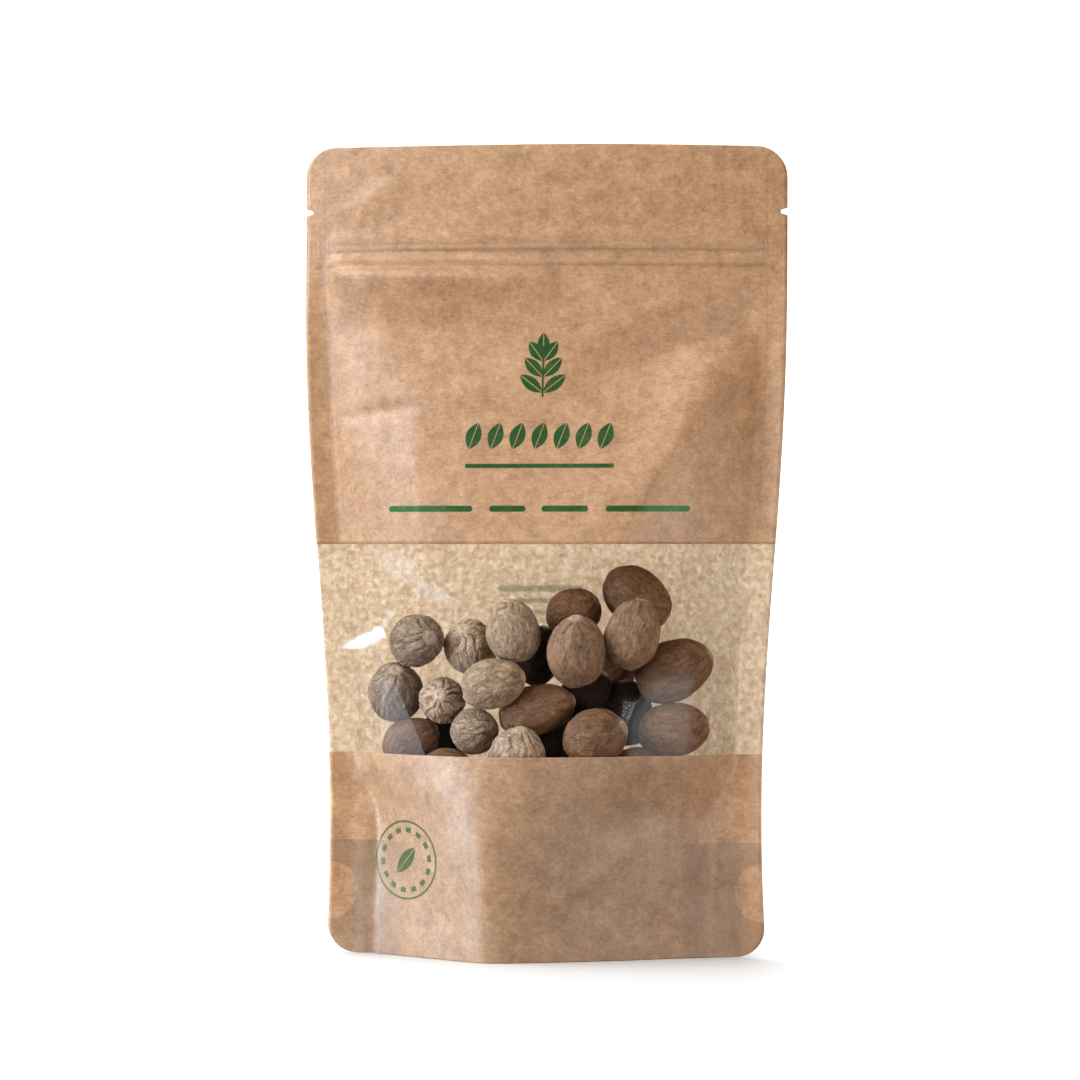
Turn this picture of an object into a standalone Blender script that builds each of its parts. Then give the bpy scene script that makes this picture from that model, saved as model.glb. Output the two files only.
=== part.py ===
"""Stand-up pouch of whole nutmegs: kraft paper, sealed all round, with a clear band across its front.

Metres, +Z up. The pouch stands on its gusset at z = 0, centred on X and Y, and its front faces -Y.
It is modelled as three pieces: the paper pouch, the clear film of the window, and the heap of nutmegs behind it.
"""

import math

import bmesh
import bpy
from mathutils import Euler, Matrix, Vector

# The pouch as it is cut. Its flat height is 0.270, and the bulge of the filling takes 0.003 off that
FLAT_WIDTH = 0.160
HEIGHT = 0.267
SIDE_SEAL = 0.0065
CORNER_RADIUS = 0.010
WALL = 0.0004
NOTCH_HEIGHT = 0.2456
NOTCH_DEPTH = 0.0023
NOTCH_HALF_GAPE = 0.0010
ZIP_RIDGES = (0.2279, 0.2330)
ZIP_RELIEF = 0.0006
ZIP_HALF_WIDTH = 0.0012

# How far the filling pushes each panel out from the middle plane
BELLY = 0.0305
BELLY_AT_BASE = 0.028
BELLY_HEIGHT = 0.045
BELLY_TOP = 0.230
BELLY_POWER = 1.2

# The gusset's hollow under the pouch: flat in the middle, folded up to this height at the side seals
GUSSET_FOLD = 0.038
GUSSET_FLAT_HALF = 0.026
GUSSET_WALL = 0.0012

# The window, and the pocket behind it that holds the nutmegs
WINDOW_LOW = 0.0663
WINDOW_HIGH = 0.1358
POCKET_SIDE = 0.004
POCKET_BACK = 0.0010
FILM = 0.0004
GAP = 0.0003

# The heap: a core that fills the back of the pocket, and nutmegs that stand out of it
CORE_HALF_WIDTH = 0.047
CORE_FRONT = -0.011
CORE_BACK = 0.014
CORE_CREST = 0.1075
CORE_TILT = 0.004
CORE_DROP = 0.014

# Each nutmeg in the heap, in millimetres: x, y, z of its middle, its length and width, and its lean, in
# degrees from upright towards +X.
NUTMEGS_MM = (
    (-42, -5, 103, 21, 18, 78),
    (-25, 1, 101, 20, 18, -10),
    (-9, -12, 107, 21, 18, -8),
    (9, 2, 112, 19, 17, 60),
    (12, -15, 100, 25, 20, 2),
    (30, 7, 117, 25, 19, 125),
    (30, -10, 106, 24, 18, 15),
    (42, 1, 94, 27, 20, 66),
    (-50, 1, 86, 21, 18, 10),
    (-33, -5, 84, 17, 15, 10),
    (-15, -16, 90, 21, 17, 76),
    (-2, -9, 81, 26, 17, 75),
    (-22, -10, 74, 17, 16, 80),
    (-7, -18, 66, 21, 19, 10),
    (18, -16, 72, 21, 19, 70),
    (27, 7, 80, 22, 17, -5),
    (43, -3, 75, 24, 18, 80),
    (-46, -6, 70, 20, 16, 65),
)

PAPER_COLOUR = (0.52, 0.33, 0.20)
FILM_COLOUR = (0.85, 0.80, 0.72)
NUTMEG_COLOUR = (0.22, 0.14, 0.09)


def belly(z):
    """Distance from the middle plane to either panel, along the pouch's centre line."""
    if z < BELLY_HEIGHT:
        return BELLY_AT_BASE + (BELLY - BELLY_AT_BASE) * math.sin(math.pi / 2 * z / BELLY_HEIGHT)
    rise = (z - BELLY_HEIGHT) / (BELLY_TOP - BELLY_HEIGHT)
    return BELLY * math.cos(math.pi / 2 * rise) ** BELLY_POWER if rise < 1 else 0.0


def seam(z):
    """Distance from the centre line to a side seal: the paper keeps its width, so a bulge draws the seals in."""
    panel = FLAT_WIDTH / 2 - SIDE_SEAL
    return panel - 2 / 3 * belly(z) ** 2 / panel


def edge(z):
    """Distance from the centre line to the pouch's outer edge, drawn in round the corners."""
    into_corner = min(1.0, max(0.0, CORNER_RADIUS - z, z - (HEIGHT - CORNER_RADIUS)) / CORNER_RADIUS)
    return seam(z) + SIDE_SEAL - CORNER_RADIUS * (1 - math.sqrt(1 - into_corner**2))


def front(x, z):
    """Y of the front panel's outer face. The back panel's is the same with its sign changed."""
    across = min(1.0, abs(x) / min(seam(z), edge(z) - WALL))
    ridge = ZIP_RELIEF if z in ZIP_RIDGES and across < 1 else 0.0
    return -(WALL + belly(z) * (1 - across**2) + ridge)


def gusset(x):
    """Height of the gusset's fold over the ground at x."""
    out = (abs(x) - GUSSET_FLAT_HALF) / (seam(0) - GUSSET_FLAT_HALF)
    return GUSSET_FOLD * max(0.0, out)


def object_from(mesh, name, collection, material):
    data = bpy.data.meshes.new(name)
    mesh.to_mesh(data)
    mesh.free()
    data.shade_smooth()
    data.set_sharp_from_angle(angle=math.radians(40))
    data.materials.append(material)
    made = bpy.data.objects.new(name, data)
    collection.objects.link(made)
    if collection.name == "cutters":
        made.hide_render = True
        made.display_type = "WIRE"
    return made


def material(name, colour, roughness, alpha=1.0):
    made = bpy.data.materials.new(name)
    made.use_nodes = True
    shader = made.node_tree.nodes["Principled BSDF"]
    shader.inputs["Base Color"].default_value = (*colour, 1)
    shader.inputs["Roughness"].default_value = roughness
    shader.inputs["Metallic"].default_value = 0
    shader.inputs["Alpha"].default_value = alpha
    return made


def boolean(target, cutter, operation):
    modifier = target.modifiers.new(cutter.name, "BOOLEAN")
    modifier.operation = operation
    modifier.object = cutter
    return modifier


def block(columns, rows, place):
    """A closed block. place(across, up, deep) maps across -1..1, up 0..1 and deep 0 (front) or 1 (back)."""
    mesh = bmesh.new()
    bmesh.ops.create_grid(mesh, x_segments=columns, y_segments=rows, size=1)
    front_vertices = mesh.verts[:]
    bmesh.ops.extrude_face_region(mesh, geom=mesh.faces[:])
    for vertex in mesh.verts:
        deep = 0 if vertex in front_vertices else 1
        vertex.co = place(vertex.co.x, (vertex.co.y + 1) / 2, deep)
    bmesh.ops.recalc_face_normals(mesh, faces=mesh.faces[:])
    if mesh.calc_volume(signed=True) < 0:
        bmesh.ops.reverse_faces(mesh, faces=mesh.faces[:])
    return mesh


def panel_columns():
    """Places across a panel: the seals at -2 and 2, the bulging part between -1 and 1."""
    bulge_steps = 18
    inner = [2 * step / bulge_steps - 1 for step in range(bulge_steps + 1)]
    return [-2.0, *inner, 2.0]


def panel_heights():
    """Heights of the panel's rows, closer together round the corners and over the zip."""
    corner = [CORNER_RADIUS * (1 - math.cos(math.radians(angle))) for angle in (0, 30, 60, 90)]
    zip_rows = [ZIP_RIDGES[0] - ZIP_HALF_WIDTH, *ZIP_RIDGES, ZIP_RIDGES[1] + ZIP_HALF_WIDTH]
    zip_rows.insert(2, sum(ZIP_RIDGES) / 2)
    body_rows = 22
    rise = (zip_rows[0] - CORNER_RADIUS) / body_rows
    body = [CORNER_RADIUS + rise * row for row in range(1, body_rows)]
    above_zip = (zip_rows[-1] + HEIGHT - CORNER_RADIUS) / 2
    return [*corner, *body, *zip_rows, above_zip, *[HEIGHT - height for height in reversed(corner)]]


def pouch_half():
    """The front half of the pouch, open at the middle plane: its base, its front panel and its edges."""
    columns = [-2.0, *panel_columns(), 2.0]
    heights = [0.0, *panel_heights(), HEIGHT]
    mesh = bmesh.new()
    bmesh.ops.create_grid(mesh, x_segments=len(columns) - 1, y_segments=len(heights) - 1, size=1)
    mesh.verts.ensure_lookup_table()
    for index, vertex in enumerate(mesh.verts):
        row, column = divmod(index, len(columns))
        across, z = columns[column], heights[row]
        inner = min(seam(z), edge(z) - WALL)
        x = across * inner if abs(across) <= 1 else math.copysign(edge(z), across)
        on_middle_plane = row in (0, len(heights) - 1) or column in (0, len(columns) - 1)
        vertex.co = (x, 0.0 if on_middle_plane else front(x, z), z)
    bmesh.ops.remove_doubles(mesh, verts=mesh.verts[:], dist=1e-6)
    return mesh


def pocket(clearance, front_clearance, back_clearance):
    """The space behind the window, smaller by the clearances."""

    def place(across, up, deep):
        low, high = WINDOW_LOW + clearance, WINDOW_HIGH - clearance
        z = low + (high - low) * up
        x = across * (seam(z) - POCKET_SIDE - clearance)
        return x, front(x, z) + front_clearance if deep == 0 else -front(x, z) - back_clearance, z

    return block(16, 8, place)


def window_film():
    def place(across, up, deep):
        low, high = WINDOW_LOW + GAP, WINDOW_HIGH - GAP
        z = low + (high - low) * up
        x = across * (seam(z) - POCKET_SIDE - GAP)
        return x, front(x, z) + deep * FILM, z

    return block(16, 8, place)


def gusset_hollow(side):
    """One end of the hollow under the gusset: a tent that rises from the flat middle to the side seal."""
    inner, outer = GUSSET_FLAT_HALF, edge(0) - POCKET_SIDE
    under, rim = -0.005, -0.0005

    def place(across, up, deep):
        x = inner + (outer - inner) * up
        reach = -front(x, 0) - GUSSET_WALL
        roof = rim + gusset(x) * (1 - abs(across))
        return side * x, across * reach, roof if deep else under

    return block(6, 6, place)


def heap_core():
    """The part of the heap behind the nutmegs that show."""

    def place(across, up, deep):
        x = across * CORE_HALF_WIDTH
        crest = CORE_CREST + CORE_TILT * across - CORE_DROP * across**4
        z = WINDOW_LOW + (crest - WINDOW_LOW) * up
        return x, (CORE_BACK if deep else CORE_FRONT) * (1 - 0.5 * across**2), z

    return block(10, 2, place)


def nutmegs():
    """Every nutmeg of the layout as an egg-shaped shell in one mesh."""
    mesh = bmesh.new()
    for x, y, z, length, width, lean in NUTMEGS_MM:
        centre = Vector((x, y, z)) / 1000
        turn = Euler((0, math.radians(lean), 0)).to_matrix().to_4x4()
        size = Matrix.Diagonal((width / 2000, width / 2000, length / 2000, 1))
        place = Matrix.Translation(centre) @ turn @ size
        bmesh.ops.create_uvsphere(mesh, u_segments=14, v_segments=8, radius=1, matrix=place)
    return mesh


def notch(side):
    """A tear notch's cutter: a short oval rod across the edge."""
    rod = 0.01
    mesh = bmesh.new()
    size = Matrix.Diagonal((NOTCH_DEPTH, NOTCH_HALF_GAPE, 1, 1))
    place = Matrix.Translation((side * edge(NOTCH_HEIGHT), 0, NOTCH_HEIGHT))
    across = Matrix.Rotation(math.radians(90), 4, "X")
    bmesh.ops.create_cone(
        mesh, cap_ends=True, segments=16, radius1=1, radius2=1, depth=rod, matrix=place @ across @ size
    )
    return mesh


def build_pouch(parts, cutters):
    paper = material("kraft_paper", PAPER_COLOUR, 0.75)
    pouch = object_from(pouch_half(), "pouch", parts, paper)
    mirror = pouch.modifiers.new("back_half", "MIRROR")
    mirror.use_axis = (False, True, False)
    mirror.merge_threshold = 0.0001
    boolean(pouch, object_from(pocket(0, -0.005, POCKET_BACK), "pocket", cutters, paper), "DIFFERENCE")
    for side, name in ((-1, "left"), (1, "right")):
        hollow = object_from(gusset_hollow(side), "gusset_hollow_" + name, cutters, paper)
        boolean(pouch, hollow, "DIFFERENCE")
        boolean(pouch, object_from(notch(side), "notch_" + name, cutters, paper), "DIFFERENCE")


def build_window_film(parts):
    clear = material("clear_film", FILM_COLOUR, 0.1, alpha=0.35)
    object_from(window_film(), "window_film", parts, clear)


def build_heap(parts, cutters):
    shell = material("nutmeg_shell", NUTMEG_COLOUR, 0.6)
    heap = object_from(heap_core(), "nutmegs", parts, shell)
    union = boolean(heap, object_from(nutmegs(), "loose_nutmegs", cutters, shell), "UNION")
    union.use_self = True
    inside = object_from(pocket(GAP, FILM + GAP, POCKET_BACK + GAP), "inside_pocket", cutters, shell)
    boolean(heap, inside, "INTERSECT")


def collection(name):
    made = bpy.data.collections.new(name)
    bpy.context.scene.collection.children.link(made)
    return made


def main():
    for old in list(bpy.data.objects):
        bpy.data.objects.remove(old)
    parts = collection("pouch_of_nutmegs")
    cutters = collection("cutters")
    build_pouch(parts, cutters)
    build_window_film(parts)
    build_heap(parts, cutters)


main()
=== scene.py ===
"""Whole nutmegs in a kraft paper stand-up pouch with a clear band, sealed and standing on its gusset."""

import math

import bmesh
import bpy
from mathutils import Euler, Matrix, Vector, noise


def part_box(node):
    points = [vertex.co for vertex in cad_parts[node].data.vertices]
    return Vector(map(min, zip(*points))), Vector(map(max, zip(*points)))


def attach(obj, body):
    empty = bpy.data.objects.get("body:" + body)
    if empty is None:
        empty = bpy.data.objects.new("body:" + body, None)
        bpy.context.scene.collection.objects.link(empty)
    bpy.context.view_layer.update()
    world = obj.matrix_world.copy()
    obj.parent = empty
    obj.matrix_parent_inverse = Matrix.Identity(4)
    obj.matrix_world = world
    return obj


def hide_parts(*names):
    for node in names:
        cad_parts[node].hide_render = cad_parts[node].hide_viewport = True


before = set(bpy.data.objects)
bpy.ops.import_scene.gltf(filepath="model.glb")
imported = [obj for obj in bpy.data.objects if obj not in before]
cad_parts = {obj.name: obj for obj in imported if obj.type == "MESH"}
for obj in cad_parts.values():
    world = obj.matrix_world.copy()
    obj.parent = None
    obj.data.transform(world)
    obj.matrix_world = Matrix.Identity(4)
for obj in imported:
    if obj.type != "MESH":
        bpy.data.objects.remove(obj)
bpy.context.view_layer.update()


# ---- Back panel -------------------------------------------------------------------------------------------
# One sheet of brown kraft paper lined with clear film, the full height of the pouch. It is bonded to the
# front panels along both side seals and the flap, and the filling pushes it out from the middle plane.

FLAT_WIDTH = 0.160
SIDE_SEAL = 0.0065
CORNER_RADIUS = 0.010
BELLY, BELLY_AT_BASE = 0.0305, 0.028
BELLY_HEIGHT, BELLY_TOP = 0.045, 0.230
BELLY_POWER = 1.2
NOTCH_HEIGHT, NOTCH_DEPTH, NOTCH_HALF_GAPE = 0.2456, 0.0023, 0.0010
SEAL_FACE = 0.0004
FLAP_BOW, FIN_CURL, CORNER_DROOP = 0.005, 0.0016, 0.0011
PAPER_THICKNESS = 0.0002
LEAST_SEAL = 0.0005
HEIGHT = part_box("pouch")[1][2]
HALF_PANEL = FLAT_WIDTH / 2 - SIDE_SEAL


def smooth(low, high, value):
    """0 below low, 1 above high, and an even curve between."""
    t = min(1.0, max(0.0, (value - low) / (high - low)))
    return t * t * (3 - 2 * t)


def belly(z):
    """Distance from the middle plane to either panel, along the pouch's centre line."""
    if z < BELLY_HEIGHT:
        return BELLY_AT_BASE + (BELLY - BELLY_AT_BASE) * math.sin(math.pi / 2 * z / BELLY_HEIGHT)
    rise = (z - BELLY_HEIGHT) / (BELLY_TOP - BELLY_HEIGHT)
    return BELLY * math.cos(math.pi / 2 * rise) ** BELLY_POWER if rise < 1 else 0.0


def seam(z):
    """Distance from the centre line to a side seal. A bulge draws the seals in: the paper keeps its width."""
    return HALF_PANEL - 2 / 3 * belly(z) ** 2 / HALF_PANEL


def edge(z):
    """Distance from the centre line to the outer edge, drawn in round the corners and at the tear notch."""
    into_corner = min(1.0, max(0.0, CORNER_RADIUS - z, z - (HEIGHT - CORNER_RADIUS)) / CORNER_RADIUS)
    off_notch = min(1.0, abs(z - NOTCH_HEIGHT) / NOTCH_HALF_GAPE)
    drawn_in = CORNER_RADIUS * (1 - math.sqrt(1 - into_corner**2)) + NOTCH_DEPTH * math.sqrt(1 - off_notch**2)
    return seam(z) + SIDE_SEAL - drawn_in


def bow(x, z):
    """How far both sheets bend towards the front: the empty top at its middle, and each side seal's rim."""
    past_seam = max(0.0, (abs(x) - seam(z)) / SIDE_SEAL)
    curl = FIN_CURL * past_seam**1.5 * smooth(0, 0.03, z) * (1 - smooth(0.20, 0.24, z))
    return FLAP_BOW * smooth(0.17, 0.25, z) * (1 - (x / HALF_PANEL) ** 2) + curl


def rows(low, high, fine=()):
    """Heights from low to high, close together at the rounded corners, the notches and the fine places."""
    coarse, close, narrow = 0.0013, 0.0003, 0.0018
    fine = (*fine, NOTCH_HEIGHT)
    heights = [low]
    while heights[-1] < high:
        z = heights[-1]
        to_end = min(z, HEIGHT - z)
        step = max(0.0001, min(coarse, 0.12 * to_end + 0.0001)) if to_end < CORNER_RADIUS else coarse
        if any(abs(z - place) < narrow for place in fine):
            step = close
        elif any(0 < place - narrow - z < step for place in fine):
            step = max(close, min(place - narrow - z for place in fine if place - narrow > z))
        heights.append(min(high, z + step))
    return heights


def panel(name, heights, depth, side):
    """A sheet over the pouch's outline, depth(x, z) from the middle plane on its side, which is -1 in front.

    Its UV map "flat" gives each place on the sheet before it was filled, in metres from the foot's middle.
    """
    seal_steps, bulge_steps = 5, 112
    seals = [1 + step / seal_steps for step in range(1, seal_steps + 1)]
    inner = [2 * step / bulge_steps - 1 for step in range(bulge_steps + 1)]
    columns = [*[-place for place in reversed(seals)], *inner, *seals]
    mesh = bmesh.new()
    bmesh.ops.create_grid(mesh, x_segments=len(columns) - 1, y_segments=len(heights) - 1, size=1)
    flat = {}
    for index, vertex in enumerate(mesh.verts):
        row, column = divmod(index, len(columns))
        across, z = columns[column], heights[row]
        inner_edge = min(seam(z), edge(z) - LEAST_SEAL)
        past_seam = max(0.0, abs(across) - 1)
        x = math.copysign(min(1.0, abs(across)) * inner_edge + past_seam * (edge(z) - inner_edge), across)
        droop = CORNER_DROOP * smooth(0.15, HEIGHT, z) * max(0.0, x / HALF_PANEL) ** 1.5
        vertex.co = (x, side * depth(x, z) - bow(x, z), z - droop)
        on_seal = x - math.copysign(inner_edge, x) if past_seam else 0.0
        flat[vertex] = (max(-1.0, min(1.0, across)) * HALF_PANEL + on_seal, z)
    layer = mesh.loops.layers.uv.new("flat")
    for face in mesh.faces:
        for loop in face.loops:
            loop[layer].uv = flat[loop.vert]
    if side > 0:
        bmesh.ops.reverse_faces(mesh, faces=mesh.faces[:])
    return finished(mesh, name)


def finished(mesh, name):
    """Turns a bmesh into an object with smooth faces, in place."""
    data = bpy.data.meshes.new(name)
    mesh.to_mesh(data)
    mesh.free()
    data.shade_smooth()
    piece = bpy.data.objects.new(name, data)
    bpy.context.scene.collection.objects.link(piece)
    return piece


def thicken(piece, thickness):
    """Gives a sheet its thickness, inwards from its outer face."""
    solid = piece.modifiers.new("thickness", "SOLIDIFY")
    solid.thickness = thickness
    solid.offset = -1
    solid.use_even_offset = False
    return piece


class Shade:
    """A shader socket that Python's operators work on. node() adds any other kind of node to its tree."""

    def __init__(self, tree, socket=None):
        self.tree = tree
        self.socket = socket

    def node(self, kind, settings=None, sockets=None, output=None):
        """Adds a node: its settings, then its sockets' values or links. Gives its named or first output."""
        made = self.tree.nodes.new("ShaderNode" + kind)
        for name, value in (settings or {}).items():
            if name == "stops":
                while len(made.color_ramp.elements) < len(value):
                    made.color_ramp.elements.new(1.0)
                for stop, (position, colour) in zip(made.color_ramp.elements, value):
                    stop.position, stop.color = position, (*colour, 1)
            else:
                setattr(made, name, value)
        for name, value in (sockets or {}).items():
            socket = made.inputs[name] if isinstance(name, int) else next(
                entry for entry in made.inputs if entry.name == name and entry.enabled)
            if isinstance(value, Shade):
                self.tree.links.new(value.socket, socket)
            elif socket.type == "RGBA":
                socket.default_value = (*value[:3], 1)
            else:
                socket.default_value = value
        enabled = (entry for entry in made.outputs if entry.enabled)
        return Shade(self.tree, made.outputs[output] if output else next(enabled, None))

    def math(self, operation, *others):
        """One Math node, with this as its first value."""
        sockets = {0: self, **{place + 1: other for place, other in enumerate(others)}}
        return self.node("Math", {"operation": operation}, sockets)

    def __add__(self, other):
        return self.math("ADD", other)

    __radd__ = __add__

    def __mul__(self, other):
        return self.math("MULTIPLY", other)

    __rmul__ = __mul__

    def __sub__(self, other):
        return self.math("SUBTRACT", other)

    def __rsub__(self, other):
        return (self * -1) + other

    def __truediv__(self, other):
        return self.math("DIVIDE", other)

    def __pow__(self, other):
        return self.math("POWER", other)

    def __abs__(self):
        return self.math("ABSOLUTE")

    def least(self, other):
        """The smaller of the two."""
        return self.math("MINIMUM", other)

    def most(self, other):
        """The larger of the two."""
        return self.math("MAXIMUM", other)

    def ramp(self, low, high):
        """0 below low and 1 above high, with an even curve between."""
        settings = {"interpolation_type": "SMOOTHSTEP"}
        return self.node("MapRange", settings, {"Value": self, "From Min": low, "From Max": high})

    def blend(self, first, second):
        """The two colours mixed, with this as the share of the second."""
        settings = {"data_type": "RGBA", "clamp_factor": True}
        return self.node("Mix", settings, {"Factor": self, "A": first, "B": second})

    def join(self, first, second):
        """The two shaders mixed, with this as the share of the second."""
        return self.node("MixShader", {}, {"Fac": self, 1: first, 2: second})

    def cloud(self, place, scale, detail=2.0, roughness=0.5, distortion=0.0):
        """Noise at place, about 0.5 on the whole."""
        sockets = {"Vector": place, "Scale": scale, "Detail": detail, "Roughness": roughness,
                   "Distortion": distortion}
        return self.node("TexNoise", {}, sockets, "Fac")

    def stretched(self, place, scale):
        """The place with its axes scaled, for a grain that runs one way."""
        return self.node("Mapping", {}, {"Vector": place, "Scale": scale})


def new_finish(name):
    """An empty material, and a Shade to build its nodes on."""
    made = bpy.data.materials.new(name)
    made.use_nodes = True
    made.node_tree.nodes.clear()
    return made, Shade(made.node_tree)


def show(shade, shader):
    """Makes shader the material's surface."""
    shade.node("OutputMaterial", {}, {"Surface": shader})


PAPER_DARK = (0.200, 0.107, 0.054)
PAPER_LIGHT = (0.455, 0.278, 0.160)
GLOW_DARK = (0.60, 0.33, 0.135)
GLOW_LIGHT = (1.0, 0.66, 0.345)
INK_GREEN = (0.004, 0.070, 0.012)
FLECK, FLECK_SHARE = (0.20, 0.12, 0.07), 0.4
CLUMP_GLOW = (0.40, 0.26, 0.12)
# Painted shade where the zip or the gusset backs a front sheet: darker paper and less light let through.
BACKED_PAPER_SHADE, BACKED_PAPER_SHADE_SHARE = (0.13, 0.068, 0.036), 0.20
BACKED_GLOW_SHADE, BACKED_GLOW_SHADE_SHARE = (0.20, 0.110, 0.055), 0.60


def pulp(shade, place, scale=150):
    """The cloudiness of kraft paper, from fine flecks to patches of several millimetres, 0 to 1."""
    clouds = shade.cloud(place, scale, 5, 0.95)
    fibres = shade.cloud(shade.stretched(place, (0.35, 1, 1)), 1400, 2, 0.8, 0.6)
    return (clouds * 0.7 + fibres * 0.3 - 0.35) / 0.30


def let_through(shade, colour):
    """Light from behind that a sheet passes on in one colour."""
    return shade.node("BsdfTranslucent", {}, {"Color": colour})


def kraft_paper(name, light_through, printing=None, painted_backing_shade=None, glow=(GLOW_DARK, GLOW_LIGHT), mottle=0.0):
    """Brown kraft with fibres and cloudy pulp, which lets some light through; where something backs it,
    painted shade darkens its colour and the light it lets through.
    """
    made, shade = new_finish(name)
    place = shade.node("TexCoord", {}, {}, "Object")
    tone = pulp(shade, place, 420 if mottle else 150)
    paper = tone.blend(PAPER_DARK, PAPER_LIGHT)
    specks = shade.cloud(place, 700, 0, 0).ramp(0.76, 0.82)
    paper = (specks * FLECK_SHARE).blend(paper, FLECK)
    through = tone.join(*[let_through(shade, colour) for colour in glow])
    if mottle:
        clumps = shade.cloud(place, 620, 3, 0.75).ramp(0.60, 0.40)
        through = (clumps * mottle).join(through, let_through(shade, CLUMP_GLOW))
    metal = 0.0
    if printing:
        ink = printing(shade) * (0.86 + 0.14 * tone.ramp(0.2, 0.5))
        metal = ink * 0.6
        paper = ink.blend(paper, INK_GREEN)
        through = (ink * 0.9).join(through, let_through(shade, INK_GREEN))
    # Painted shade where something backs the sheet, in its colour and in the light it lets through.
    if painted_backing_shade:
        behind = painted_backing_shade(shade)
        paper = (behind * BACKED_PAPER_SHADE_SHARE).blend(paper, BACKED_PAPER_SHADE)
        through = (behind * BACKED_GLOW_SHADE_SHARE).join(through, let_through(shade, BACKED_GLOW_SHADE))
    bump = shade.node("Bump", {}, {"Strength": 0.3, "Distance": 0.0001, "Height": tone})
    sockets = {"Base Color": paper, "Roughness": 0.45, "Specular IOR Level": 0.5, "Metallic": metal,
               "Normal": bump}
    front = shade.node("BsdfPrincipled", {}, sockets)
    show(shade, shade.node("MixShader", {}, {"Fac": light_through, 1: front, 2: through}))
    return made


def paper_piece(piece, material):
    """Finishes a sheet of the pouch's paper: its thickness, its material and what it stands for."""
    piece.data.materials.append(material)
    piece.data.materials.append(film_lining)
    thicken(piece, PAPER_THICKNESS).modifiers["thickness"].material_offset = 1
    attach(piece, "root")
    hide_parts("pouch")
    return piece


FOLD_ROUNDING = 0.06


def fold(x, z, start, end, height, left, right, sharp=1.35):
    """Height of a crease from start to end that falls off over left and right of its line, given in mm."""
    run, climb = end[0] - start[0], end[1] - start[1]
    length = math.hypot(run, climb)
    from_x, from_z = 1000 * x - start[0], 1000 * z - start[1]
    along = (from_x * run + from_z * climb) / length**2
    if not 0 < along < 1:
        return 0.0
    aside = (from_x * climb - from_z * run) / length
    width = right if aside > 0 else left
    crest = 1 + FOLD_ROUNDING - math.hypot(aside / width, FOLD_ROUNDING)
    return height / 1000 * max(0.0, crest) ** sharp * math.sin(math.pi * along) ** 0.8


def cockle(x, z, seed, size, height):
    """The slow, shallow waviness of paper that has been handled."""
    return height * noise.noise(Vector((x / size, seed, z / size)))


BASE_TUCK, SIDE_TUCK, TUCK_TOP = 0.008, 0.002, 0.066


def below_flap(z):
    """1 over the filled part and 0 from the ridges up, where both sheets lie flat."""
    return 1 - smooth(BELLY_TOP - 0.025, BELLY_TOP, z)


def off_seam(x, z, reach=0.012):
    """0 at the side seals, where the sheets are bonded flat, and 1 a reach inside them."""
    return smooth(0, reach, seam(z) - abs(x))


def bulge(x, z):
    """Distance of a full panel from the middle plane: flat at the seams, and flatter across near the top."""
    tuck = SIDE_TUCK + (BASE_TUCK - SIDE_TUCK) * (1 - smooth(TUCK_TOP - 0.02, TUCK_TOP, z))
    across = min(1.0, abs(x) / (seam(z) - tuck))
    fullness = 2.2 + 3.5 * smooth(0.13, 0.20, z)
    return SEAL_FACE + belly(z) * (1 - across**fullness)


BACK_FOLDS = (
    ((-60, 215), (-20, 165), 2.2, 20, 9),
    ((66, 205), (40, 120), 2.0, 12, 18),
    ((-58, 60), (-30, 120), 1.6, 14, 10),
    ((10, 190), (52, 176), 1.2, 5, 12),
)


def back_depth(x, z):
    """Distance of the back panel's outer face from the middle plane."""
    waves = cockle(x, z, 7.3, 0.030, 0.0011) + cockle(x, z, 2.1, 0.012, 0.0003)
    creases = sum(fold(x, z, *each) for each in BACK_FOLDS)
    return bulge(x, z) + (waves + creases) * off_seam(x, z) * below_flap(z)


def lined_paper():
    """The paper's inner face: pulp seen through its clear lining, which lets most of the light on."""
    made, shade = new_finish("kraft_paper_lined")
    place = shade.node("TexCoord", {}, {}, "Object")
    paper = pulp(shade, place).blend((0.42, 0.30, 0.19), (0.80, 0.62, 0.44))
    face = shade.node("BsdfPrincipled", {}, {"Base Color": paper, "Roughness": 0.4})
    clumps = shade.cloud(place, 430, 4, 0.8, 0.5).ramp(0.34, 0.66)
    through = clumps.join(let_through(shade, (0.68, 0.59, 0.50)), let_through(shade, (1.0, 1.0, 1.0)))
    show(shade, shade.node("MixShader", {}, {"Fac": 0.85, 1: face, 2: through}))
    return made


def disc(u, v, centre, radius):
    """Distance from a centre, over a radius."""
    return ((((u - centre[0]) ** 2) + ((v - centre[1]) ** 2)) ** 0.5) / radius


def bar(u, v, centre, width, height, blur=0.00012):
    """A bar with round ends."""
    half = height / 2
    beyond = (abs(u - centre[0]) - (width / 2 - half)).most(0)
    away = (beyond**2 + (v - centre[1]) ** 2) ** 0.5
    return 1 - away.ramp(half - blur, half + blur)


def leaf(u, v, root, turn, length, width, blur=0.0001):
    """A pointed leaf that grows from its root, turned from upright."""
    cosine, sine = math.cos(math.radians(turn)), math.sin(math.radians(turn))
    along = ((u - root[0]) * sine + (v - root[1]) * cosine) / (length / 2) - 1
    aside = abs((u - root[0]) * cosine - (v - root[1]) * sine)
    rim = (1 - along**2) * (width / 2)
    blade = (rim - aside).ramp(-blur, blur)
    vein = 1 - aside.ramp(0.00010, 0.00022)
    return blade * (1 - vein * 0.8)


def sheet_place(shade):
    """The two coordinates of a place on the flat sheet: across from the centre line, and up from the foot."""
    flat = shade.node("UVMap", {"uv_map": "flat"}, {}, "UV")
    parts = shade.node("SeparateXYZ", {}, {"Vector": flat}, "X")
    return parts, Shade(shade.tree, parts.socket.node.outputs["Y"])


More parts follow.
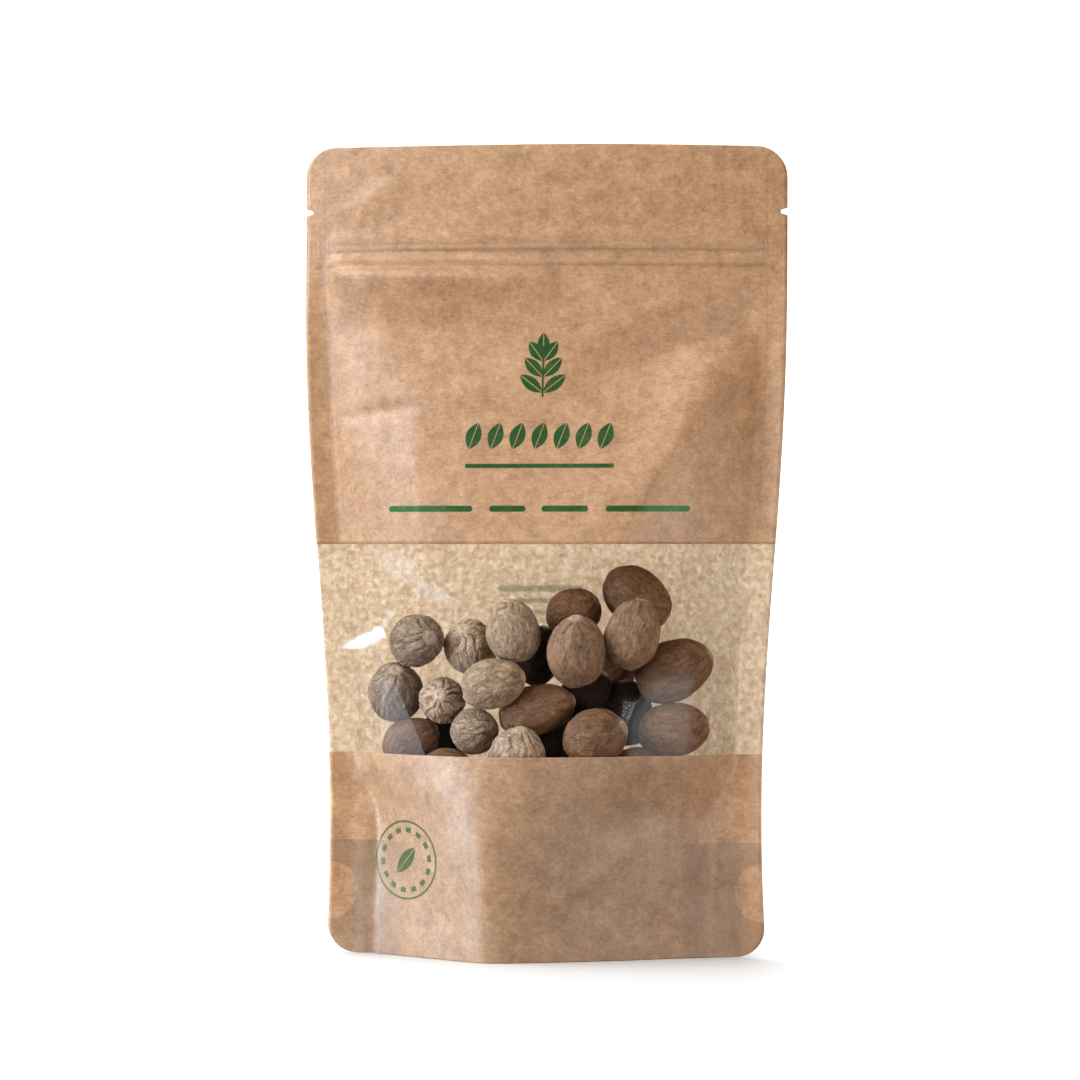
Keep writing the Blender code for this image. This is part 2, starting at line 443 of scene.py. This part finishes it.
BACK_BARS_X = -0.0045
BACK_BARS = (0.1205, 0.031, 0.0021), (0.1165, 0.018, 0.0017), (0.1125, 0.038, 0.0017)


def back_printing(shade):
    """Three short faint bars under a dot."""
    u, v = sheet_place(shade)
    lines = 1 - disc(u, v, (0.003, 0.1315), 0.0008).ramp(0.8, 1.2)
    for height, width, thickness in BACK_BARS:
        lines = lines.most(bar(u, v, (BACK_BARS_X, height), width, thickness))
    return lines * 0.55


BACK_GLOW = (0.62, 0.46, 0.29), (1.0, 0.87, 0.70)
film_lining = lined_paper()
kraft_back = kraft_paper("kraft_paper_back", 0.74, back_printing, None, BACK_GLOW, 0.55)
paper_piece(panel("back_panel", rows(0, HEIGHT), back_depth, 1), kraft_back)


# ---- Front panels -----------------------------------------------------------------------------------------
# Two sheets of the same kraft paper, above and below the clear band. The upper one carries the press-to-close
# ridges and most of the green printing, the lower one a round stamp. Both are creased from handling.

WINDOW_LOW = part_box("window_film")[0][2]
WINDOW_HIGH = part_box("window_film")[1][2]
ZIP_RIDGES, ZIP_HALF_WIDTH, ZIP_RELIEF = (0.2279, 0.2330), 0.0016, 0.0006
FLAP_SWELL_HEIGHT, FLAP_SWELL_HALF_WIDTH, FLAP_SWELL = 0.2364, 0.0036, 0.0007
FLAP_WAVES = ((-66, 246), (-46, 258), 0.8, 4, 8), ((-30, 240), (20, 262), 0.5, 9, 9)
UPPER_FOLDS = (
    ((82, 213), (8, 188), -4.8, 15, 13),
    ((68, 211), (19, 122), 3.8, 26, 15),
    ((-88, 226), (6, 222), 7.5, 8, 17),
    ((-69, 177), (-41, 180), -1.6, 5, 4),
    ((-43, 181), (-38, 112), 1.8, 26, 7),
    ((26, 176), (10, 100), 1.0, 34, 24),
)
LOWER_FOLDS = (
    ((46, 78), (46, 22), 1.4, 22, 10),
    ((56, 52), (-12, 8), 0.5, 12, 9),
)
CREST_X, CREST_EASE = -0.015, 0.12
FLATNESS = 0.80


def planes(x, z):
    """Share of the belly's depth in two nearly flat planes that meet in a crest left of the middle."""
    tuck = SIDE_TUCK + (BASE_TUCK - SIDE_TUCK) * (1 - smooth(TUCK_TOP - 0.02, TUCK_TOP, z))
    reach = seam(z) - tuck
    run = abs(x - CREST_X) / (reach - CREST_X if x > CREST_X else reach + CREST_X)
    soft = 0.09 + 0.30 * smooth(0.012, 0.065, z)
    rise = max(0.0, 1 - (math.hypot(run, soft) - soft) / (math.hypot(1, soft) - soft))
    round_left = 0.35 * smooth(0.02, 0.06, z) if x < CREST_X else 0.0
    return rise * rise / (rise + CREST_EASE) * (1 + CREST_EASE) * (1 + round_left * (1 - rise))


LEAST_GAP, GAP_SOFTNESS = 0.0006, 0.0010


def kept_apart(x, z, depth):
    """Keeps the front sheet off the back one: a dent that would cross it comes to rest on it instead."""
    gap = depth + back_depth(x, z) - LEAST_GAP
    soft = GAP_SOFTNESS * off_seam(x, z, 0.006) * below_flap(z)
    return depth - gap + (gap + math.hypot(gap, soft)) / 2


def front_depth(x, z):
    """Distance of the front sheets' outer face from the middle plane."""
    folds = FLAP_WAVES if z > ZIP_RIDGES[1] else UPPER_FOLDS + LOWER_FOLDS
    creases = sum(fold(x, z, *each) for each in folds) * off_seam(x, z, 0.006)
    waves = cockle(x, z, 3.7, 0.028, 0.0008) + cockle(x, z, 5.5, 0.011, 0.0003)
    ridges = sum(1 - smooth(0, ZIP_HALF_WIDTH, abs(z - ridge)) for ridge in ZIP_RIDGES) * ZIP_RELIEF
    ridges += (1 - smooth(0, FLAP_SWELL_HALF_WIDTH, abs(z - FLAP_SWELL_HEIGHT))) * FLAP_SWELL
    flat = FLATNESS * (1 - smooth(0.04, 0.09, z))
    full = bulge(x, z) * (1 - flat) + (SEAL_FACE + belly(z) * planes(x, z)) * flat
    depth = full + creases + waves * off_seam(x, z) * below_flap(z) + ridges * off_seam(x, z, 0.004)
    return kept_apart(x, z, depth)


SPRIG_X, SPRIG_FOOT, SPRIG_TOP = 0.0005, 0.1815, 0.2045
LEAF_ROW_HEIGHT, LEAF_ROW_START, LEAF_ROW_PITCH = 0.1664, -0.0240, 0.0074
THIN_BAR_HEIGHT, SHORT_BAR_HEIGHT = 0.1610, 0.1470
SHORT_BARS = (-0.0375, 0.030), (-0.0105, 0.0125), (0.0092, 0.016), (0.0372, 0.028)


def upper_printing(shade):
    """A sprig with paired leaves over a row of small leaves, a thin bar and four short ones."""
    u, v = sheet_place(shade)
    ink = bar(v, u, ((SPRIG_FOOT + SPRIG_TOP) / 2 - 0.001, SPRIG_X), SPRIG_TOP - SPRIG_FOOT - 0.006, 0.0007)
    for pair in range(3):
        root = (SPRIG_X, SPRIG_FOOT + 0.0035 + 0.0052 * pair)
        for side in (-1, 1):
            ink = ink.most(leaf(u, v, root, side * (52 - 8 * pair), 0.0098 - 0.0008 * pair, 0.0042))
    ink = ink.most(leaf(u, v, (SPRIG_X, SPRIG_TOP - 0.008), 0, 0.0085, 0.0042))
    for place in range(7):
        root = (LEAF_ROW_START + LEAF_ROW_PITCH * place, LEAF_ROW_HEIGHT)
        ink = ink.most(leaf(u, v, root, 20, 0.0094, 0.0052))
    ink = ink.most(bar(u, v, (0, THIN_BAR_HEIGHT), 0.0505, 0.0014))
    for centre, width in SHORT_BARS:
        ink = ink.most(bar(u, v, (centre, SHORT_BAR_HEIGHT), width, 0.0020))
    return ink


STAMP_CENTRE, STAMP_RADIUS = (-0.0505, 0.0316), 0.0128


def lower_printing(shade):
    """A round stamp: a broken ring round a small leaf."""
    u, v = sheet_place(shade)
    centre_x, centre_z = STAMP_CENTRE
    away = disc(u, v, STAMP_CENTRE, STAMP_RADIUS)
    ring = 1 - abs(away - 1).ramp(0.02, 0.035)
    angle = (v - centre_z).math("ARCTAN2", u - centre_x)
    dashes = (angle * 14).math("SINE").ramp(-0.1, 0.1)
    inner = (1 - abs(away - 0.78).ramp(0.055, 0.075)) * dashes
    sprig = leaf(u, v, (centre_x - 0.004, centre_z - 0.0045), 42, 0.012, 0.005)
    return ring.most(inner).most(sprig) * 0.85


GUSSET_FOLD = 0.0375
GUSSET_SEEN_FROM, GUSSET_SEEN_FULLY = 0.046, 0.059
PUNCH_RADIUS, PUNCH_HEIGHT = 0.0096, 0.0207


def gusset_painted_shade(shade):
    """Painted shade: 1 where the folded gusset backs the sheet and 0 above it and in its half-round punches.
    """
    u, v = sheet_place(shade)
    below = 1 - v.ramp(GUSSET_FOLD - 0.0003, GUSSET_FOLD + 0.0003)
    below = below * abs(u).ramp(GUSSET_SEEN_FROM, GUSSET_SEEN_FULLY)
    punch = disc(abs(u), v, (HALF_PANEL + SIDE_SEAL, PUNCH_HEIGHT), PUNCH_RADIUS)
    return below * punch.ramp(0.97, 1.03)


ZIP_END_HEIGHT, ZIP_END_WIDTH = 0.2335, 0.0024
ZIP_END_RIBS = 4200  # radians to the metre


def zip_shade_and_marks(shade):
    """Up to 1 where the sheet is painted darker: painted shade under the two ridges of the closed zip, and
    dark marks at its crushed ends and along the seals' inner rims.
    """
    u, v = sheet_place(shade)
    along = 1 - abs(u).ramp(HALF_PANEL - 0.001, HALF_PANEL)
    above = [v - ridge for ridge in ZIP_RIDGES]
    # Painted shade: a band at each ridge, sharp just below it and fading over about 2 mm upwards.
    lines = [up.ramp(-0.0010, -0.0005) * (1 - up.ramp(-0.0004, 0.0020)) for up in above]
    rim = (1 - abs(abs(u) - HALF_PANEL).ramp(0.0001, 0.0004)) * 0.35
    ribs = (abs(u) * ZIP_END_RIBS).math("SINE").ramp(0.3, 1.0)
    marks = (1 - abs(v - ZIP_END_HEIGHT).ramp(0.0018, 0.0032)) * ribs
    end = HALF_PANEL - ZIP_END_WIDTH
    ends = marks * abs(u).ramp(end - 0.0002, end + 0.0002) * 0.7
    return (lines[0].most(lines[1]) * along).most(rim).most(ends)


# Painted shade: the upper sheet is darker at the zip behind it, the lower one where the folded gusset backs
# it.
upper_kraft = kraft_paper("kraft_paper_upper", 0.34, upper_printing, zip_shade_and_marks)
lower_kraft = kraft_paper("kraft_paper_lower", 0.42, lower_printing, gusset_painted_shade)
paper_piece(panel("upper_front_panel", rows(WINDOW_HIGH, HEIGHT, ZIP_RIDGES), front_depth, -1), upper_kraft)
paper_piece(panel("lower_front_panel", rows(0, WINDOW_LOW), front_depth, -1), lower_kraft)


# ---- Gusset -----------------------------------------------------------------------------------------------
# The folded kraft sheet that opens into the pouch's floor: flat in the middle, still folded up at both side
# seals, and bonded to the panels along its rim. The panels bond through a half-round punch at each seal.

GUSSET_FLAT_HALF, GUSSET_FOLDED_FROM = 0.020, 0.056
GUSSET_INSET, GUSSET_LIFT = 0.001, 0.0004


def gusset_share(across):
    """0 where the floor lies flat to 1 where it is still folded up; across runs from 0 to 1 at a seam."""
    return smooth(GUSSET_FLAT_HALF, GUSSET_FOLDED_FROM, abs(across) * HALF_PANEL)


def gusset_sheet():
    """The floor sheet: flat in the middle, risen to its fold at both seams, and always inside the panels."""
    columns, halves, clear = 110, 20, 0.0008
    mesh = bmesh.new()
    bmesh.ops.create_grid(mesh, x_segments=columns, y_segments=2 * halves, size=1)
    for vertex in mesh.verts:
        across, aside = vertex.co.x, vertex.co.y
        share = gusset_share(across)
        z = GUSSET_LIFT + GUSSET_FOLD * share * (1 - abs(aside))
        x = across * (seam(z) - GUSSET_INSET)
        wall = front_depth if aside < 0 else back_depth
        reach = max(0.0001, wall(x, z) - clear)
        spread = share * min(1, abs(aside) * 6) + (1 - share) * abs(aside)
        vertex.co = (x, math.copysign(reach * spread, aside), z)
    return finished(mesh, "gusset")


paper_piece(gusset_sheet(), kraft_paper("kraft_paper_gusset", 0.35))


# ---- Clear band -------------------------------------------------------------------------------------------
# The film that lines the front paper, bare between its two sheets. It is glossy and thin, drawn over the
# nutmegs and pinched into a few sharp facets on the left, where its glints and pale reflections are painted.

FILM_TUCK = 0.003
FILM_THICKNESS, FILM_BEHIND = 0.00012, 0.00005
FILM_FOLDS = (
    ((-68, 104), (-44, 112), 1.6, 4, 6),
    ((-56, 138), (-22, 110), 1.8, 7, 4),
    ((-54, 112), (-44, 64), 1.6, 5, 5),
    ((-34, 114), (-18, 113), 1.0, 3, 4),
    ((36, 60), (58, 100), 1.2, 8, 8),
)


def film_depth(x, z):
    """Distance of the film's outer face from the middle plane: it lines the paper, and is creased between."""
    near_paper = smooth(0, 0.006, z - WINDOW_LOW) * smooth(0, 0.006, WINDOW_HIGH - z)
    folds = sum(fold(x, z, *each, sharp=1.0) for each in FILM_FOLDS) + cockle(x, z, 9.1, 0.012, 0.00025)
    return front_depth(x, z) - PAPER_THICKNESS - FILM_BEHIND + folds * near_paper * off_seam(x, z, 0.004)


def facet(u, v, corners, soft):
    """1 inside a convex facet of the film, corners clockwise in mm, fading over soft mm inside each side."""
    inside = None
    for index, (at, then) in enumerate(zip(corners, corners[1:] + corners[:1])):
        run, climb = (then[0] - at[0]) / 1000, (then[1] - at[1]) / 1000
        length = math.hypot(run, climb)
        depth = ((u - at[0] / 1000) * climb - (v - at[1] / 1000) * run) / length
        part = depth.ramp(0, soft[index] / 1000)
        inside = part if inside is None else inside * part
    return inside


# Painted glints and reflections on the film's creased facets. Corners in mm, the fade inside each side in mm,
# and the strength at most.
PAINTED_FILM_GLINTS = (
    (((-64, 136), (-50, 136), (-39, 124.5), (-43, 118.5), (-57, 125)), (4, 2, 2, 3, 4), 0.045),
    (((-47, 127), (-39, 124.5), (-26.5, 116.5), (-29, 114.5), (-45, 118)), (3, 1.5, 1, 1.5, 2), 0.065),
    (((-78, 100.5), (-69, 105.5), (-57, 109.5), (-55, 104), (-66, 99.5)), (2.5, 2.5, 1.5, 3.5, 2), 0.75),
    (((-58.5, 103.5), (-58.5, 109), (-54.5, 114.5), (-51, 114), (-54.5, 108)), (2, 1.5, 1.5, 1.5, 2), 0.10),
    (((-35, 111), (-26, 112), (-25, 110.5), (-34, 109)), (1.5, 1, 1.5, 1.5), 0.10),
    (((-61, 93), (-54, 93), (-39, 63), (-61, 63)), (3, 0.5, 0.5, 4), 0.038),
    (((-68, 101), (-64, 100), (-61, 64), (-64, 64)), (2, 2, 2, 2), 0.012),
    (((32, 80), (40, 92), (57, 96), (57, 63), (32, 63)), (5, 5, 4, 2, 4), 0.035),
)


def painted_film_glints(shade):
    """Painted glints and reflections: white facets where the film is creased, as a share of the light they
    scatter.
    """
    u, v = sheet_place(shade)
    place = shade.node("TexCoord", {}, {}, "Object")
    u = u + (shade.cloud(place, 260, 3, 0.6) - 0.5) * 0.0026
    v = v + (shade.cloud(place, 310, 3, 0.6) - 0.5) * 0.0022
    glints = None
    for corners, soft, strength in PAINTED_FILM_GLINTS:
        patch = facet(u, v, corners, soft) * strength
        glints = patch if glints is None else glints.most(patch)
    return glints


def clear_film():
    """Thin clear film: see-through, with a hard gloss towards its sides and painted glints and reflections
    where it is creased.
    """
    made, shade = new_finish("clear_film")
    place = shade.node("TexCoord", {}, {}, "Object")
    grazing = shade.node("LayerWeight", {}, {"Blend": 0.5}, "Facing")
    uneven = shade.cloud(place, 260, 3, 0.6).ramp(0.25, 0.6)
    # Inside the painted glints the film turns white and rough, a bright patch that scatters the light.
    painted_glint = painted_film_glints(shade) * (0.75 + 0.25 * uneven)
    share = (grazing ** 5 * 0.8 + 0.0015 + painted_glint).least(1)
    painted_glint_cover = painted_glint.ramp(0.0, 0.012)
    sheen = {"Base Color": (0.96, 0.98, 1.0), "Metallic": 1 - painted_glint_cover, "Roughness": 0.08 + 0.6 * painted_glint_cover}
    face = shade.node("BsdfPrincipled", {}, sheen)
    clear = shade.node("BsdfTransparent", {}, {"Color": (1, 1, 1)})
    show(shade, shade.node("MixShader", {}, {"Fac": share, 1: clear, 2: face}))
    return made


band_rows = rows(WINDOW_LOW - FILM_TUCK, WINDOW_HIGH + FILM_TUCK)
window_film = thicken(panel("window_film_sheet", band_rows, film_depth, -1), FILM_THICKNESS)
window_film.data.materials.append(clear_film())
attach(window_film, "root")
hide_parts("window_film")


# ---- Nutmegs ----------------------------------------------------------------------------------------------
# Dry whole nutmegs: egg-shaped seeds with a net of shallow furrows that runs from the round scar at one end
# to the small pit at the other. They lie loose behind the band, each set one by one. The dark ones in the
# gaps are painted shade: near-black seeds where the gaps lie in shadow.

# Kind, then x, y, z of the middle, length and width in mm, then lean from upright towards +X, nod of the
# upper end towards the front, and roll about the long axis, in degrees, and how pale it is among its kind.
NUTMEGS = (
    ("wrinkled", -42, -5, 103.5, 22, 17.5, 78, 55, 20, 0.2),
    ("wrinkled", -25, 1, 101.5, 20.5, 17.5, -10, 50, 60, 2.0),
    ("pale", -9, -12, 107, 21, 18, -8, 0, 0, 0.5),
    ("brown", 9.5, 2, 112.5, 19, 17, 60, 10, 0, 0.85),
    ("tan", 12, -14.5, 100.5, 25, 19.5, 2, 24, 0, 0.4),
    ("brown", 30, 7, 117.5, 25, 19, 125, 0, 40, 0.75),
    ("tan", 30, -10, 106, 24.5, 18, 15, 0, 80, 0.6),
    ("brown", 42.5, 1, 94, 27, 20, 66, 0, 10, 0.4),
    ("wrinkled", -50, 0.2, 86.5, 21, 18.5, 10, 40, 0, 0.1),
    ("wrinkled", -33.5, -5, 84, 18, 15.5, 10, 75, 0, 1.1),
    ("pale", -15, -17, 90, 21.5, 16.5, 76, 0, 0, 0.5),
    ("brown", -1.5, -9, 81, 26, 16.5, 75, 0, 0, 0.6),
    ("dark", -3.5, 6, 98.5, 20, 17, 20, 0, 0, 0.8),
    ("wrinkled", -22, -10, 74, 16.5, 15.5, 80, 30, 0, 0.35),
    ("wrinkled", -7, -19, 66, 21, 19, 10, 20, 0, 0.7),
    ("brown", 18.5, -15.4, 72.5, 21.5, 19, 70, 10, 0, 0.6),
    ("dark", 27, 7, 79.5, 22, 16.5, -5, 0, 0, 1.0),
    ("brown", 43, -3, 74.5, 24, 18, 80, 0, 30, 0.6),
    ("brown", 20.5, 16, 93, 18, 16, 30, 0, 0, 0.5),
    ("brown", -44.5, -2, 70, 20, 16, 65, 0, 0, 0.1),
    ("dark", -35.5, 11.6, 71, 19, 16, 0, 0, 0, 0.6),
    ("brown", -31.5, -9, 60, 20, 17, 90, 0, 0, 0.6),
    ("brown", 31.5, -4, 60.5, 20, 17, 80, 0, 0, 0.6),
    ("brown", 14, 3, 55, 20, 17, 90, 0, 0, 0.3),
    ("dark", 13, 3, 86, 19, 16, 40, 0, 0, 0.3),
    ("dark", 0.5, 3, 68, 20, 18, 0, 0, 0, 0.3),
    ("dark", 3.5, 19, 76, 20, 18, 60, 0, 0, 0.1),
)
WARP_SEED = 5
FURROW_DEPTH = {"pale": 0.00035, "wrinkled": 0.0005, "tan": 0.0003, "brown": 0.0002, "dark": 0.0002}


def nutmeg(mesh, number, kind, x, y, z, length, width, lean, nod, roll, pale):
    """Adds one seed to the mesh: an egg with a scar on top, a pit below and furrows between them."""
    fineness = 5 if kind == "dark" or z < 64 else 6
    made = bmesh.ops.create_icosphere(mesh, subdivisions=fineness, radius=1)
    depth = FURROW_DEPTH[kind]
    layers = mesh.verts.layers
    seed = Vector((3.1 * number, 1.7 * number, 5.3 * number))
    turn = Euler((math.radians(nod), math.radians(lean), 0), "XYZ").to_matrix()
    turn = turn @ Matrix.Rotation(math.radians(roll), 3, "Z")
    for vertex in made["verts"]:
        way = vertex.co.copy()
        round_about = Vector((way.x, way.y, 0.36 * way.z))
        warp = 0.35 * noise.noise_vector(way * 1.6 + seed)
        coarse = 1 - abs(noise.noise(round_about * 4.2 + warp * 3 + seed)) * 4.5
        fine = 1 - abs(noise.noise(round_about * 9.5 + warp * 5 + seed)) * 3.2
        net = max(0.0, coarse) * 0.6 + max(0.0, fine) * 0.45
        spokes = math.sin(9 * math.atan2(way.y, way.x) + 5 * noise.noise(way * 2 + seed))
        round_scar = smooth(0.35, 0.75, way.z) * (1 - smooth(0.90, 0.97, way.z))
        net = net * (1 - round_scar) + round_scar * max(0.0, spokes) ** 1.5
        cap = smooth(0.93, 0.985, way.z)
        lump = noise.noise(way * 1.3 + seed) * 0.06 + noise.noise(way * 2.9 + seed) * 0.018
        swell = 1 + lump + 0.012 * cap - 0.05 * smooth(0.965, 1.0, -way.z) - 0.03 * smooth(0.988, 1.0, way.z)
        egg = width / 2000 * (1 - 0.07 * way.z)
        place = Vector((way.x * egg, way.y * egg, way.z * length / 2000)) * swell
        place -= depth * net * (1 - cap) * place.normalized()
        vertex.co = turn @ place + Vector((x, y, z)) / 1000
        vertex[layers.float["furrow"]] = min(1.0, net * (1 - cap))
        vertex[layers.float["scar"]] = cap
        vertex[layers.float["pale"]] = pale
        vertex[layers.float_vector["own_place"]] = way + seed


# Each kind's colour in its furrows, on its crests, the depth of its finest wrinkles, and its sheen.
NUTMEG_FINISH = {
    "pale": ((0.056, 0.029, 0.014), (0.410, 0.275, 0.172), 0.00032, 0.25),
    "wrinkled": ((0.040, 0.021, 0.012), (0.390, 0.262, 0.170), 0.00045, 0.25),
    "tan": ((0.040, 0.017, 0.008), (0.310, 0.170, 0.088), 0.00032, 0.25),
    "brown": ((0.025, 0.009, 0.004), (0.230, 0.105, 0.043), 0.00034, 0.25),
    # Painted shade: the dark kind is near-black, for seeds set in the shaded gaps.
    "dark": ((0.003, 0.001, 0.0005), (0.022, 0.009, 0.004), 0.00018, 0.08),
}


def nutmeg_shell(kind):
    """Dry seed coat: dark in its furrows and fine wrinkles, dusty on the crests, pale at the scar."""
    made, shade = new_finish(kind + "_nutmeg_shell")
    dark, light, wrinkle_depth, gloss = NUTMEG_FINISH[kind]
    place = shade.node("TexCoord", {}, {}, "Object")
    own = shade.node("Attribute", {"attribute_name": "own_place"}, {}, "Vector")
    furrow = shade.node("Attribute", {"attribute_name": "furrow"}, {}, "Fac")
    scar = shade.node("Attribute", {"attribute_name": "scar"}, {}, "Fac")
    pale = shade.node("Attribute", {"attribute_name": "pale"}, {}, "Fac")
    grain = shade.stretched(own, (1, 1, 0.45))
    long_lines = (1 - abs(shade.cloud(grain, 3.4, 2, 0.5, 0.4) - 0.5) * 13).most(0)
    fine_lines = (1 - abs(shade.cloud(grain, 8.0, 2, 0.5, 0.6) - 0.5) * 7).most(0)
    wrinkles = (long_lines * 0.55 + fine_lines * 0.6).least(1)
    patches = shade.cloud(place, 170, 3, 0.6).ramp(0.3, 0.7)
    dust = shade.cloud(place, 900, 3, 0.65).ramp(0.35, 0.65)
    crest = (1 - wrinkles * 0.6) * (1 - furrow * 0.55) * (0.45 + 0.30 * patches + 0.25 * dust)
    shell = (crest * (0.55 + 0.75 * pale)).blend(dark, light)
    shell = (scar * 0.45).blend(shell, (0.42, 0.31, 0.22))
    height = dust * 0.15 - wrinkles
    bump = shade.node("Bump", {}, {"Strength": 0.7, "Distance": wrinkle_depth, "Height": height})
    rough = 0.60 + 0.2 * furrow
    sockets = {"Base Color": shell, "Roughness": rough, "Specular IOR Level": gloss, "Normal": bump}
    show(shade, shade.node("BsdfPrincipled", {}, sockets))
    return made


noise.seed_set(WARP_SEED)
for kind in NUTMEG_FINISH:
    heap = bmesh.new()
    for layer_name in ("furrow", "scar", "pale"):
        heap.verts.layers.float.new(layer_name)
    heap.verts.layers.float_vector.new("own_place")
    for number, entry in enumerate(NUTMEGS):
        if entry[0] == kind:
            nutmeg(heap, number, *entry)
    seeds = finished(heap, kind + "_nutmegs")
    seeds.data.materials.append(nutmeg_shell(kind))
    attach(seeds, "root")
    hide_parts("nutmegs")


# ---- Nutmegs below the band -------------------------------------------------------------------------------
# The rest of the filling: more of the same seeds, which the lower paper hides. One lumpy mass stands for
# them, a little inside the paper and clear of the gusset's fold.

FILLING_TOP, FILLING_FOOT, FILLING_HALF_WIDTH = 0.060, 0.006, 0.045
FILLING_CLEAR, LUMPINESS = 0.004, 0.04


def hidden_filling():
    """A rounded block that follows both panels from the gusset up to just under the band."""
    mesh = bmesh.new()
    bmesh.ops.create_uvsphere(mesh, u_segments=72, v_segments=36, radius=1)
    for vertex in mesh.verts:
        way = vertex.co.normalized()
        square = 1 / max(abs(way.z) ** 4 + math.hypot(way.x, way.y) ** 4, 1e-9) ** 0.25
        z = (FILLING_TOP + FILLING_FOOT) / 2 + way.z * square * (FILLING_TOP - FILLING_FOOT) / 2
        x = way.x * square * FILLING_HALF_WIDTH
        z = max(z, FILLING_FOOT + GUSSET_FOLD * gusset_share(x / (seam(GUSSET_FOLD) - GUSSET_INSET)))
        wall = front_depth if way.y < 0 else back_depth
        reach = max(0.001, wall(x, z) - FILLING_CLEAR)
        y = max(-1.0, min(1.0, way.y * square)) * reach
        lumps = 1 + LUMPINESS * noise.noise(Vector((x, y, z)) * 70)
        vertex.co = (x * lumps, y * lumps, z)
    return finished(mesh, "hidden_nutmegs")


filling = hidden_filling()
filling.data.materials.append(bpy.data.materials["brown_nutmeg_shell"])
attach(filling, "root")
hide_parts("nutmegs")


# ---- Studio -----------------------------------------------------------------------------------------------
# A pale floor that runs out of sight, in white surroundings that are brightest behind and overhead. Three
# softboxes stand at the left, high, tall and low, and one low at the right. None of them lights the floor.

FLOOR_DROP = 0.0002


def studio_floor():
    """The floor, which takes its light from the surroundings alone and tints nothing that stands on it."""
    mesh = bmesh.new()
    bmesh.ops.create_grid(mesh, x_segments=1, y_segments=1, size=4)
    floor = finished(mesh, "studio_floor")
    made, shade = new_finish("pale_floor")
    sockets = {"Base Color": (0.90, 0.95, 1.00), "Roughness": 0.6, "Specular IOR Level": 0.2}
    show(shade, shade.node("BsdfPrincipled", {}, sockets))
    floor.data.materials.append(made)
    floor.location.z = -FLOOR_DROP
    floor.visible_diffuse = False
    return floor


def soft_light(name, place, aim, width, height, watts, colour, spread, unlit):
    """A softbox that lights everything but the unlit pieces. spread is its beam's whole angle in degrees."""
    data = bpy.data.lights.new(name, "AREA")
    data.shape, data.size, data.size_y = "RECTANGLE", width, height
    data.energy, data.color, data.spread = watts, colour, math.radians(spread)
    lamp = bpy.data.objects.new(name, data)
    lamp.location = place
    lamp.rotation_euler = (Vector(aim) - Vector(place)).to_track_quat("-Z", "Y").to_euler()
    bpy.context.scene.collection.objects.link(lamp)
    left_out = bpy.data.collections.new(name + "_leaves_out")
    for piece in unlit:
        left_out.objects.link(piece)
        left_out.collection_objects[-1].light_linking.link_state = "EXCLUDE"
    lamp.light_linking.receiver_collection = left_out


floor = studio_floor()
soft_light("left_softbox", (-0.44, -0.30, 0.52), (0, 0, 0.17), 0.42, 0.42, 6.6,
           (0.88, 0.97, 1.06), 180, [floor])
soft_light("tall_left_softbox", (-0.46, -0.36, 0.20), (0, 0, 0.18), 0.10, 0.44, 2.3,
           (0.80, 0.98, 1.16), 180, [floor, window_film])
soft_light("low_left_softbox", (-0.40, -0.21, 0.030), (-0.05, -0.03, 0.016), 0.14, 0.06, 0.115,
           (0.80, 0.98, 1.18), 36, [floor, window_film])
soft_light("low_right_softbox", (0.30, -0.30, 0.03), (0.03, 0, 0.03), 0.20, 0.10, 1.35,
           (1.00, 1.00, 1.00), 180, [floor])
world = bpy.data.worlds.new("studio")
bpy.context.scene.world = world
world.use_nodes = True
world.node_tree.nodes.clear()
sky = Shade(world.node_tree)
way = sky.node("TexCoord", {}, {}, "Generated")
ahead = sky.node("VectorMath", {"operation": "DOT_PRODUCT"}, {0: way, 1: (-0.88, 0.475, 0.0)}, "Value")
above = sky.node("VectorMath", {"operation": "DOT_PRODUCT"}, {0: way, 1: (0, 0, 1)}, "Value")
fill = sky.node("VectorMath", {"operation": "DOT_PRODUCT"}, {0: way, 1: (0.70, -0.70, 0.1)}, "Value")
strength = 0.07 + 2.20 * ahead.ramp(0.1, 0.75) + 2.3 * above.ramp(0.6, 1.0) + 0.30 * fill.ramp(0.0, 0.9)
tint = ahead.ramp(-0.3, 0.6).blend((1.0, 0.93, 0.85), (1.0, 1.0, 1.0))
background = sky.node("Background", {}, {"Color": tint, "Strength": strength})
sky.node("OutputWorld", {}, {"Surface": background})

CAMERA_DISTANCE, CAMERA_TURN, CAMERA_HEIGHT = 1.30, math.radians(7), 0.1368
CAMERA_LENS, CAMERA_SENSOR, CAMERA_SHIFT = 131.3, 36, -0.00463
camera_data = bpy.data.cameras.new("camera")
camera_data.lens, camera_data.sensor_width, camera_data.shift_x = CAMERA_LENS, CAMERA_SENSOR, CAMERA_SHIFT
camera = bpy.data.objects.new("camera", camera_data)
aside, back = CAMERA_DISTANCE * math.sin(CAMERA_TURN), CAMERA_DISTANCE * math.cos(CAMERA_TURN)
camera.location = (aside, -back, CAMERA_HEIGHT)
camera.rotation_euler = (math.pi / 2, 0, CAMERA_TURN)
bpy.context.scene.collection.objects.link(camera)
bpy.context.scene.camera = camera
bpy.context.scene.view_settings.view_transform = "Standard"
